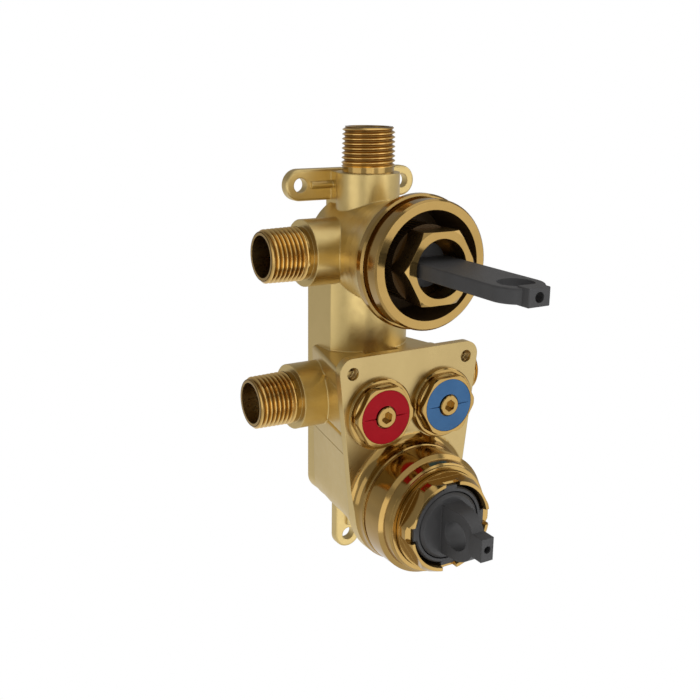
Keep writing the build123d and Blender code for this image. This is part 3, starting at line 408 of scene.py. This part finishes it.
def close_rings(mesh, layer, rings):
    """Caps and joins rings of corners into one closed shell."""
    faces = [mesh.faces.new(rings[0]), mesh.faces.new(rings[-1][::-1])]
    count = len(rings[0])
    for first, second in zip(rings, rings[1:]):
        for step in range(count):
            after = (step + 1) % count
            faces.append(mesh.faces.new((first[step], second[step], second[after], first[after])))
    bmesh.ops.recalc_face_normals(mesh, faces=faces)
    keep_normals(faces, layer)
    return faces


def cheek(mesh, layer, side, low, high, back, inner_back, inner_front):
    """One wedge between the plate's side edge and the column, with its long edges rounded."""
    def outline(z, inset):
        front = PLATE_EDGE_X + PLATE_EDGE_SLOPE * z - inset
        rear = wall_x(z, back, inset)
        inside = inner_front or front - CHEEK_WALL
        start = PLATE_BACK_Y - CHEEK_OVERLAP
        return ((front, start), (rear, back), (inner_back, back), (inside, start))

    angles = [math.pi / 2 * step / CHEEK_STEPS for step in range(CHEEK_STEPS + 1)]
    rounding = [(CHEEK_ROUND * (1 - math.cos(a)), CHEEK_ROUND * (1 - math.sin(a))) for a in angles]
    levels = [(low + rise, inset) for rise, inset in rounding]
    levels += [(high - rise, inset) for rise, inset in rounding[::-1]]
    rings = []
    for z, inset in levels:
        rings.append([mesh.verts.new(Vector((side * x, y, z)) * MM) for x, y in outline(z, inset)])
    return close_rings(mesh, layer, rings)


# Side of the casting below the cheeks: (y, half-width of the drum where the wall tucks under)
LOW_STATIONS = (
    (-46.9, 21.4),
    (-42.0, 20.1),
    (-38.0, 18.0),
    (-34.0, 17.2),
    (-30.0, 16.8),
    (-26.0, 16.6),
    (-20.0, 16.2),
    (-14.0, 15.0),
    (-8.0, 15.0),
)
LOW_TOP_Z = 21.5
LOW_END_Z = -11.0
LOW_TUCK = 0.8
LOW_STEPS = 8
LOW_INNER = ((12.6, -11.0), (14.0, -9.0), (15.8, -5.0), (16.6, 0.0), (16.6, LOW_TOP_Z))


def low_cheek(mesh, layer, side):
    """Side wall under the cheeks, from the plate's edge back to the column, rounded under into the drum."""
    rings = []
    for y, drum in LOW_STATIONS:
        levels = (LOW_TOP_Z, LOW_TOP_Z * 2 / 3, LOW_TOP_Z / 3, 0.0)
        spots = [(wall_x(z, y), z) for z in levels]
        wall = spots[-1][0]
        tuck = drum - LOW_TUCK
        for step in range(1, LOW_STEPS + 1):
            angle = math.pi / 2 * step / LOW_STEPS
            spots.append((tuck + (wall - tuck) * math.cos(angle), LOW_END_Z * math.sin(angle)))
        spots += LOW_INNER
        rings.append([mesh.verts.new(Vector((side * x, y, z)) * MM) for x, z in spots])
    return close_rings(mesh, layer, rings)


def paint(faces, finish):
    for face in faces:
        face.material_index = finish
        face.smooth = True


def off_axis(spot, tip, out):
    """Place of a spot along a pipe end, from its tip, and its distance from the pipe's axis."""
    offset = spot - tip
    along = offset.dot(out)
    return along, (offset - out * along).length


TINY_FACE = 1e-13
THREAD_EDGE = 0.01
WALL_EDGE = 0.1


def build_casting():
    source = nodes["valve_body"].data.copy()
    kept = source.attributes.new("true_normal", "FLOAT_VECTOR", "CORNER")
    kept.data.foreach_set("vector", [number for item in source.corner_normals for number in item.vector])
    mesh = bmesh.new()
    mesh.from_mesh(source)
    layer = mesh.loops.layers.float_vector["true_normal"]
    mesh.verts.layers.float.new("crest")
    gone = []
    for face in mesh.faces:
        centre = face.calc_center_median() / MM
        for tip, out in PIPES:
            along, radius = off_axis(centre, tip, out)
            on_thread = -THREAD_LEN - THREAD_EDGE < along < THREAD_EDGE
            if on_thread and PIPE_BORE_R + WALL_EDGE < radius < PIPE_R + WALL_EDGE:
                gone.append(face)
                break
    bmesh.ops.delete(mesh, geom=gone, context="FACES")
    for face in mesh.faces:
        paint([face], zone(face.calc_center_median() / MM, face.normal))
    for tip, out in PIPES:
        cut, flat = thread_mesh(mesh, layer, tip, out)
        paint(cut, THREADED)
        paint(flat, TURNED)
    for side in (-1, 1):
        paint(hole_thread(mesh, layer, side * TRIM_X, TRIM_Z), BORED)
        paint(low_cheek(mesh, layer, side), AS_CAST)
        for sizes in CHEEKS:
            paint(cheek(mesh, layer, side, *sizes), AS_CAST)
    tiny = [face for face in mesh.faces if face.calc_area() < TINY_FACE]
    bmesh.ops.delete(mesh, geom=tiny, context="FACES")
    made = bpy.data.meshes.new("casting_skin")
    mesh.to_mesh(made)
    mesh.free()
    bpy.data.meshes.remove(source)
    made.normals_split_custom_set([item.vector for item in made.attributes["true_normal"].data])
    made.attributes.remove(made.attributes["true_normal"])
    obj = bpy.data.objects.new("casting_skin", made)
    scene.collection.objects.link(obj)
    for finish in CASTING_FINISHES:
        made.materials.append(finish)
    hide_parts("valve_body")
    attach(obj, "casting")


# Where the casting's finishes change
PIPE_BORE_END = -30.0
PIPE_TURNED_END = -17.7
RING_R = 26.5
RING_BACK_Y = -49.0
RING_LOW_Z = 65.0
RECESS_R = 20.8
RING_FACE_Y = -68.0
RECESS_END_Y = -20.0
RECESS_LOW_Z = 75.0
SPIGOT_R = 24.8
SPIGOT_BACK_Y = -54.0
SPIGOT_BORE_R = 20.2
BLEND_TOP_Z = 28.0
PLATE_LOW_Z = 24.0
FACE_EDGE = 0.05


def zone(centre, normal):
    """Which finish a face of the casting has, by its place and the way it faces."""
    x, y, z = centre
    low_r = math.hypot(x, z)
    high_r = math.hypot(x, z - DIVERTER_Z)
    for tip, out in PIPES:
        along, radius = off_axis(centre, tip, out)
        if along > PIPE_BORE_END and radius < PIPE_BORE_R + WALL_EDGE:
            return BORED
        if along > PIPE_TURNED_END and radius < PIPE_R:
            return TURNED
    # Faces deep in the diverter's recess take the painted-shade finish; the ring round it and its front
    # face are turned.
    if high_r < RING_R and y < RING_BACK_Y and z > RING_LOW_Z:
        return TURNED if high_r > RECESS_R or y < RING_FACE_Y else SUNK_SHADE
    inward = normal.dot(Vector((x, 0, z - DIVERTER_Z))) < 0.01
    if high_r < RECESS_R and y < RECESS_END_Y and z > RECESS_LOW_Z and inward:
        return SUNK_SHADE
    if low_r < SPIGOT_R and y < SPIGOT_BACK_Y:
        return TURNED if low_r > SPIGOT_BORE_R else BORED
    if y < PLATE_Y - FACE_EDGE and z < BLEND_TOP_Z:
        return TURNED
    if y < PLATE_Y + FACE_EDGE and z > PLATE_LOW_Z:
        return MILLED
    if y < PLATE_BACK_Y and abs(normal.y) > 0.9:
        return MILLED
    return AS_CAST


build_casting()


# Turned and milled pieces with finer edges than the solids
def revolve(profile, centre, around=96):
    """Closed mesh turned about a line along Y; the profile is a closed loop of (radius, y)."""
    mesh = bmesh.new()
    rings = []
    for radius, y in profile:
        if radius == 0:
            rings.append([mesh.verts.new(Vector((centre[0], y, centre[1])) * MM)] * around)
            continue
        ring = []
        for step in range(around):
            angle = 2 * math.pi * step / around
            point = Vector((centre[0] + radius * math.cos(angle), y, centre[1] + radius * math.sin(angle)))
            ring.append(mesh.verts.new(point * MM))
        rings.append(ring)
    for first, second in zip(rings, rings[1:] + rings[:1]):
        for step in range(around):
            after = (step + 1) % around
            corners = list(dict.fromkeys((first[step], first[after], second[after], second[step])))
            if len(corners) > 2:
                mesh.faces.new(corners)
    bmesh.ops.recalc_face_normals(mesh, faces=mesh.faces)
    made = bpy.data.meshes.new("work")
    mesh.to_mesh(made)
    mesh.free()
    return made


def prism(outline, front, back, centre):
    """Closed mesh of an outline of (x, z), run along Y."""
    mesh = bmesh.new()
    ends = []
    for y in (front, back):
        ends.append([mesh.verts.new(Vector((centre[0] + x, y, centre[1] + z)) * MM) for x, z in outline])
    mesh.faces.new(ends[0])
    mesh.faces.new(ends[1][::-1])
    for step in range(len(outline)):
        after = (step + 1) % len(outline)
        mesh.faces.new((ends[0][step], ends[1][step], ends[1][after], ends[0][after]))
    bmesh.ops.recalc_face_normals(mesh, faces=mesh.faces)
    made = bpy.data.meshes.new("work")
    mesh.to_mesh(made)
    mesh.free()
    return made


def hexagon(flats, turn=0.0):
    """Corners of a hexagon, the first at the given angle in degrees."""
    radius = flats / 2 / math.cos(math.pi / 6)
    angles = [math.radians(turn + 60 * step) for step in range(6)]
    return [(radius * math.cos(angle), radius * math.sin(angle)) for angle in angles]


def carve(body, tool, operation):
    """Joins, cuts or trims one mesh with another."""
    pair = [bpy.data.objects.new("work", mesh) for mesh in (body, tool)]
    for obj in pair:
        scene.collection.objects.link(obj)
    step = pair[0].modifiers.new("carve", "BOOLEAN")
    step.operation = operation
    step.object = pair[1]
    step.solver = "EXACT"
    made = bpy.data.meshes.new_from_object(pair[0].evaluated_get(bpy.context.evaluated_depsgraph_get()))
    for obj in pair:
        bpy.data.objects.remove(obj)
    for mesh in (body, tool):
        bpy.data.meshes.remove(mesh)
    return made


SHARP_ANGLE = math.radians(28)


def fitted(name, mesh, node, body, finish):
    """A finished piece that stands for a node and rides on its body."""
    mesh.name = name
    mesh.materials.clear()
    mesh.materials.append(finish)
    mesh.shade_smooth()
    mesh.set_sharp_from_angle(angle=SHARP_ANGLE)
    obj = bpy.data.objects.new(name, mesh)
    scene.collection.objects.link(obj)
    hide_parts(node)
    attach(obj, body)


NUT_FRONT = -80.0
NUT_SHOULDER = -73.2
NUT_BACK = -59.4
NUT_FLATS = 35.4
NUT_FACE_R = 18.1
NUT_ROUND_R = 19.4
NUT_HOLE_R = 15.6
NUT_SINK_R = 16.8
NUT_SINK_DEPTH = 3.2
NUT_SHANK_R = 19.85
NUT_TRIM_RATE = 1.8
NUT_JOIN = 0.6
NUT_AROUND = 144
SLOT_HALF = 3.2
SLOT_DEPTH = 2.6
SLOT_INNER = 10.0
PAST = 1.0


def retaining_nut():
    """Slotted hexagon nut round the temperature adapter, with a broad corner chamfer and a countersink."""
    corner = NUT_FLATS / 2 / math.cos(math.pi / 6)
    trim = NUT_TRIM_RATE * (NUT_ROUND_R - NUT_FACE_R)
    axis = (0.0, 0.0)
    mesh = prism(hexagon(NUT_FLATS), NUT_FRONT, NUT_SHOULDER, axis)
    cone = [
        (0, NUT_FRONT),
        (NUT_FACE_R, NUT_FRONT),
        (NUT_ROUND_R, NUT_FRONT + trim),
        (NUT_ROUND_R, NUT_SHOULDER + PAST),
        (0, NUT_SHOULDER + PAST),
    ]
    mesh = carve(mesh, revolve(cone, axis, NUT_AROUND), "INTERSECT")
    shank = [
        (0, NUT_SHOULDER - NUT_JOIN),
        (NUT_SHANK_R, NUT_SHOULDER - NUT_JOIN),
        (NUT_SHANK_R, NUT_BACK),
        (0, NUT_BACK),
    ]
    mesh = carve(mesh, revolve(shank, axis, NUT_AROUND), "UNION")
    hole = [
        (0, NUT_FRONT - PAST),
        (NUT_SINK_R + 0.5, NUT_FRONT - PAST),
        (NUT_SINK_R, NUT_FRONT),
        (NUT_HOLE_R, NUT_FRONT + NUT_SINK_DEPTH),
        (NUT_HOLE_R, NUT_BACK + PAST),
        (0, NUT_BACK + PAST),
    ]
    mesh = carve(mesh, revolve(hole, axis, NUT_AROUND), "DIFFERENCE")
    reach = corner + PAST
    slot = ((SLOT_INNER, -SLOT_HALF), (reach, -SLOT_HALF), (reach, SLOT_HALF), (SLOT_INNER, SLOT_HALF))
    for quarter in range(4):
        way = Matrix.Rotation(math.pi / 2 * quarter, 2)
        outline = [way @ Vector(point) for point in slot]
        mesh = carve(mesh, prism(outline, NUT_FRONT - PAST, NUT_FRONT + SLOT_DEPTH, axis), "DIFFERENCE")
    fitted("retaining_nut_skin", mesh, "retaining_nut", "casting", BRIGHT)


BONNET_FRONT = -55.8
BONNET_HEX_BACK = -53.05
BONNET_RIM = -52.35
BONNET_BACK = -41.3
BONNET_FLATS = 22.8
BONNET_ROUND_R = 12.75
BONNET_R = 14.2
BONNET_NECK_R = 12.2
BONNET_THREAD_R = 9.1
MARK_R = 10.7
MARK_T = 1.2
MARK_HOLE_R = 4.5
STEM_R = 4.1
STEM_FRONT = -56.5
STEM_COLLAR_R = 5.4
STEM_COLLAR = -52.4
STEM_SCREW_R = 2.9
STEM_BACK = -39.5
SOCKET_FLATS = 4.3
SOCKET_TURN = 20.0
SOCKET_DEPTH = 2.4
CAVITY_R = 6.15
CAVITY_GAP = 0.1
BONNET_CHAMFER = 0.45
BONNET_STEP = 0.5
BONNET_WAIST = 1.2
MARK_GAP = 0.05
MARK_EDGE = 0.15
MARK_HOLE_EDGE = 0.1
STEM_GAP = 0.2
STEM_CHAMFER = 0.3
STEM_COLLAR_T = 1.8
GROOVE_INNER = 4.0
GROOVE_OUTER = 9.4
GROOVE_WIDE = 0.34
GROOVE_NARROW = 0.04
GROOVE_DEPTH = 0.6


def stop_skin(side, name, colour):
    """Hexagon bonnet, coloured disc with two marks, and socket-headed stem of one service stop."""
    axis = (side * STOP_X, STOP_Z)
    mesh = prism(hexagon(BONNET_FLATS), BONNET_FRONT, BONNET_HEX_BACK, axis)
    cone = [
        (0, BONNET_FRONT),
        (BONNET_ROUND_R - BONNET_CHAMFER, BONNET_FRONT),
        (BONNET_ROUND_R, BONNET_FRONT + BONNET_CHAMFER),
        (BONNET_ROUND_R, BONNET_HEX_BACK + PAST),
        (0, BONNET_HEX_BACK + PAST),
    ]
    mesh = carve(mesh, revolve(cone, axis), "INTERSECT")
    base = [
        (0, BONNET_HEX_BACK - BONNET_STEP),
        (BONNET_NECK_R - BONNET_WAIST, BONNET_HEX_BACK - BONNET_STEP),
        (BONNET_NECK_R, BONNET_HEX_BACK),
        (BONNET_NECK_R, BONNET_RIM),
        (BONNET_R - BONNET_STEP, BONNET_RIM),
        (BONNET_R, BONNET_RIM + BONNET_STEP),
        (BONNET_R, PLATE_Y),
        (BONNET_THREAD_R, PLATE_Y),
        (BONNET_THREAD_R, BONNET_BACK),
        (0, BONNET_BACK),
    ]
    mesh = carve(mesh, revolve(base, axis), "UNION")
    mark_back = BONNET_FRONT + MARK_T
    hole = [
        (0, BONNET_FRONT - PAST),
        (MARK_R + MARK_GAP, BONNET_FRONT - PAST),
        (MARK_R + MARK_GAP, mark_back),
        (STEM_R + STEM_GAP, mark_back),
        (STEM_R + STEM_GAP, STEM_COLLAR - CAVITY_GAP),
        (CAVITY_R, STEM_COLLAR - CAVITY_GAP),
        (CAVITY_R, BONNET_BACK + PAST),
        (0, BONNET_BACK + PAST),
    ]
    mesh = carve(mesh, revolve(hole, axis), "DIFFERENCE")
    fitted(name + "_bonnet_skin", mesh, name + "_stop_bonnet", "casting", BRIGHT)

    ring = [
        (MARK_HOLE_R, BONNET_FRONT + MARK_HOLE_EDGE),
        (MARK_HOLE_R + MARK_HOLE_EDGE, BONNET_FRONT),
        (MARK_R - MARK_EDGE, BONNET_FRONT),
        (MARK_R, BONNET_FRONT + MARK_EDGE),
        (MARK_R, mark_back),
        (MARK_HOLE_R, mark_back),
    ]
    mesh = revolve(ring, axis)
    for way in (-1, 1):
        outline = [
            (way * GROOVE_INNER, -GROOVE_WIDE),
            (way * GROOVE_OUTER, -GROOVE_NARROW),
            (way * GROOVE_OUTER, GROOVE_NARROW),
            (way * GROOVE_INNER, GROOVE_WIDE),
        ]
        groove = prism(outline, BONNET_FRONT - PAST, BONNET_FRONT + GROOVE_DEPTH, axis)
        mesh = carve(mesh, groove, "DIFFERENCE")
    fitted(name + "_disc_skin", mesh, name + "_indicator_disc", "casting", colour)

    head = [
        (0, STEM_FRONT),
        (STEM_R - STEM_CHAMFER, STEM_FRONT),
        (STEM_R, STEM_FRONT + STEM_CHAMFER),
        (STEM_R, STEM_COLLAR),
        (STEM_COLLAR_R, STEM_COLLAR),
        (STEM_COLLAR_R, STEM_COLLAR + STEM_COLLAR_T),
        (STEM_SCREW_R, STEM_COLLAR + STEM_COLLAR_T),
        (STEM_SCREW_R, STEM_BACK),
        (0, STEM_BACK),
    ]
    mesh = revolve(head, axis)
    socket = prism(hexagon(SOCKET_FLATS, SOCKET_TURN), STEM_FRONT - PAST, STEM_FRONT + SOCKET_DEPTH, axis)
    mesh = carve(mesh, socket, "DIFFERENCE")
    fitted(name + "_stem_skin", mesh, name + "_stop_stem", name + "_stop", BRIGHT)


GLAND_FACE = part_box("gland_nut")[0][1] / MM
GLAND_DEEP = 1.2


def gland_nut():
    """The solid's own mesh, with painted shade where it sits down in the recess."""
    mesh = nodes["gland_nut"].data.copy()
    mesh.name = "gland_nut_skin"
    mesh.materials.clear()
    for finish in (BRIGHT, RECESS_SHADE, BORE):
        mesh.materials.append(finish)
    for face in mesh.polygons:
        deep = face.center.y / MM > GLAND_FACE + GLAND_DEEP
        # Deep faces: those facing front take the painted-shade finish, the sides the bore finish.
        face.material_index = (1 if face.normal.y < -0.5 else 2) if deep else 0
    obj = bpy.data.objects.new("gland_nut_skin", mesh)
    scene.collection.objects.link(obj)
    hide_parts("gland_nut")
    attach(obj, "casting")


gland_nut()
retaining_nut()
stop_skin(-1, "hot", RED)
stop_skin(1, "cold", BLUE)


# Springs, copied from the solids and hung on the casting: joint, fixed end, way they run, share of length
# left
SPRINGS = (
    ("hot_check_spring", "hot_check_slide", (-31.2, PIPE_Y, STOP_Z), (1, 0, 0), 0.4),
    ("cold_check_spring", "cold_check_slide", (31.2, PIPE_Y, STOP_Z), (1, 0, 0), 0.4),
    ("return_spring", "regulator_slide", (0.0, -14.5, 0.0), (0, 1, 0), 0.92),
)
for name, joint, fixed, way, left in SPRINGS:
    coil = bpy.data.objects.new(name + "_skin", nodes[name].data.copy())
    scene.collection.objects.link(coil)
    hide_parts(name)
    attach(coil, "casting")
    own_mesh(coil)


# Stage: pale floor well below the wall-hung valve, white surroundings, soft boxes; lengths in metres
FLOOR_NEAR = 0.8
FLOOR_FAR = 0.35
FLOOR_POOL = (1.0, 3.5)
FLOOR_REACH = 9.0
FLOOR_Z = -0.9


def stage_material():
    t = Tree("stage")
    speck = t.noise(4.0, 2.0, 0.5)
    tone = t.mix(t.ramp(speck, 0.0, 1.0, 0.3, 0.7), (0.80, 0.80, 0.80), (0.83, 0.83, 0.83))
    t.set(Base_Color=tone, Roughness=0.9)
    path = t.add("LightPath")
    seen = t.maths("MAXIMUM", path.outputs["Is Camera Ray"], path.outputs["Is Transmission Ray"])
    away = t.add("VectorMath", operation="LENGTH", i0=t.point()).outputs["Value"]
    pool = t.ramp(away, FLOOR_NEAR, FLOOR_FAR, *FLOOR_POOL)
    seen = t.maths("MAXIMUM", seen, t.maths("MULTIPLY", path.outputs["Is Glossy Ray"], pool))
    glow = t.add("Emission", Strength=1.0)
    glow.inputs["Color"].default_value = (1.0, 1.0, 1.0, 1.0)
    blend = t.add("MixShader", i0=seen, i1=t.shader.outputs[0], i2=glow.outputs[0])
    t.tree.links.new(blend.outputs[0], t.tree.nodes["Material Output"].inputs[0])
    return t.material


floor_mesh = bpy.data.meshes.new("floor")
corners = [(x * FLOOR_REACH, y * FLOOR_REACH, FLOOR_Z) for x, y in ((-1, -1), (1, -1), (1, 1), (-1, 1))]
floor_mesh.from_pydata(corners, [], [(0, 1, 2, 3)])
floor = bpy.data.objects.new("floor", floor_mesh)
scene.collection.objects.link(floor)
floor_mesh.materials.append(stage_material())

world = bpy.data.worlds.new("studio")
scene.world = world
world.use_nodes = True
sky = world.node_tree
sky.nodes.clear()


def sky_node(kind, **inputs):
    node = sky.nodes.new("ShaderNode" + kind)
    for key, value in inputs.items():
        if hasattr(node, key):
            setattr(node, key, value)
        elif isinstance(value, bpy.types.NodeSocket):
            sky.links.new(value, node.inputs[int(key[1:])])
        else:
            node.inputs[int(key[1:])].default_value = value
    return node


SKY_TONE = (1.0, 0.97, 0.93, 1.0)
SKY_LOW, SKY_HIGH = -0.1, 0.4
SKY_LOW_LEVEL, SKY_HIGH_LEVEL = 0.56, 0.30
path = sky_node("LightPath")
shown, through = (path.outputs[key] for key in ("Is Camera Ray", "Is Transmission Ray"))
seen = sky_node("Math", operation="MAXIMUM", i0=shown, i1=through)
height = sky_node("SeparateXYZ", i0=sky_node("TexCoord").outputs["Generated"])
bands = {"i1": SKY_LOW, "i2": SKY_HIGH, "i3": SKY_LOW_LEVEL, "i4": SKY_HIGH_LEVEL}
level = sky_node("MapRange", i0=height.outputs[2], **bands)
dim = sky_node("Background", i0=SKY_TONE, i1=level.outputs[0])
plain = sky_node("Background", i0=(1.0, 1.0, 1.0, 1.0), i1=1.0)
choose = sky_node("MixShader", i0=seen.outputs[0], i1=dim.outputs[0], i2=plain.outputs[0])
sky_node("OutputWorld", i0=choose.outputs[0])


def softbox(name, where, aim, size, power):
    data = bpy.data.lights.new(name, "AREA")
    data.shape = "RECTANGLE"
    data.size, data.size_y = size
    data.energy = power
    obj = bpy.data.objects.new(name, data)
    scene.collection.objects.link(obj)
    obj.location = where
    obj.rotation_euler = (Vector(aim) - Vector(where)).to_track_quat("-Z", "Y").to_euler()
    obj.visible_camera = False


CENTRE = Vector((0.0, -0.03, 0.05))
LIGHT_AWAY = 0.8
# Name, the way it stands from the centre, size in metres, power in watts
LIGHTS = (
    ("front_low", (0.49, -0.83, -0.27), (0.5, 0.75), 0.86),
    ("front_left_low", (-0.38, -0.88, -0.27), (0.5, 0.5), 0.85),
    ("front", (0.15, -0.8, 0.45), (0.9, 0.9), 1.0),
    ("top", (0.25, -0.1, 1.0), (0.7, 0.7), 1.1),
    ("right", (0.9, -0.35, 0.45), (0.5, 0.5), 1.0),
    ("left", (-1.0, -0.1, 0.1), (0.6, 0.6), 0.8),
)
for name, way, size, power in LIGHTS:
    softbox(name, CENTRE + Vector(way).normalized() * LIGHT_AWAY, CENTRE, size, power)
